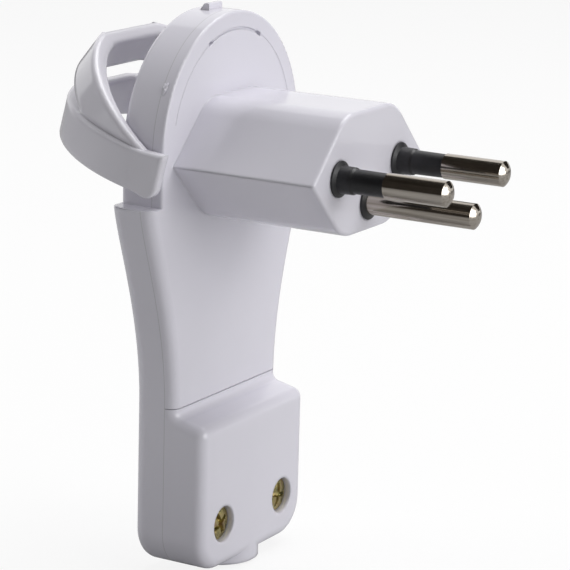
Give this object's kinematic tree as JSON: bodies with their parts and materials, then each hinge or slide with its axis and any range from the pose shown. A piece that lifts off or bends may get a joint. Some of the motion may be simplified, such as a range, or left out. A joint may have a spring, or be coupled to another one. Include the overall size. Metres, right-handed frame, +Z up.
{
  "type": "mains plug",
  "caption": "Flat mains plug with sleeved round pins on a hexagonal nose, a long arm down to a screw-closed terminal box and a hinged looped handle for pulling it out.",
  "frame": {"origin": "on the front face of the nose, midway between the line and neutral pins", "axes": "-Y along the pins into the outlet, +Z up away from the terminal box, +X to the right seen from behind the plug"},
  "size_m": [0.047, 0.0705, 0.0899],
  "materials": {
    "housing": "glossy white moulding",
    "handle": "glossy white moulding",
    "pins": "nickel plated, polished",
    "sleeves": "satin black",
    "conductors": "bare stamped brass",
    "screws": "yellow zinc plated",
    "clamp": "plain grey moulding"
  },
  "bodies": {
    "housing": {"front_shell": "housing", "rear_shell": "housing", "terminal_cover": "housing", "line_pin": "pins", "neutral_pin": "pins", "earth_pin": "pins", "line_sleeve": "sleeves", "neutral_sleeve": "sleeves", "earth_collar": "sleeves", "line_strip": "conductors", "line_terminal": "conductors", "line_terminal_screw": "screws", "neutral_strip": "conductors", "neutral_terminal": "conductors", "neutral_terminal_screw": "screws", "earth_strip": "conductors", "earth_terminal": "conductors", "earth_terminal_screw": "screws", "cord_clamp": "clamp", "cover_screw_left": "screws", "cover_screw_right": "screws", "clamp_screw_left": "screws", "clamp_screw_right": "screws"},
    "handle": {"pull_handle": "handle"}
  },
  "joints": [
    {"name": "handle_hinge", "type": "hinge", "parent": "housing", "child": "handle", "pos_m": [0, 0.028, -0.0002], "axis": [1, 0, 0], "range_deg": [-20, 28]}
  ]
}
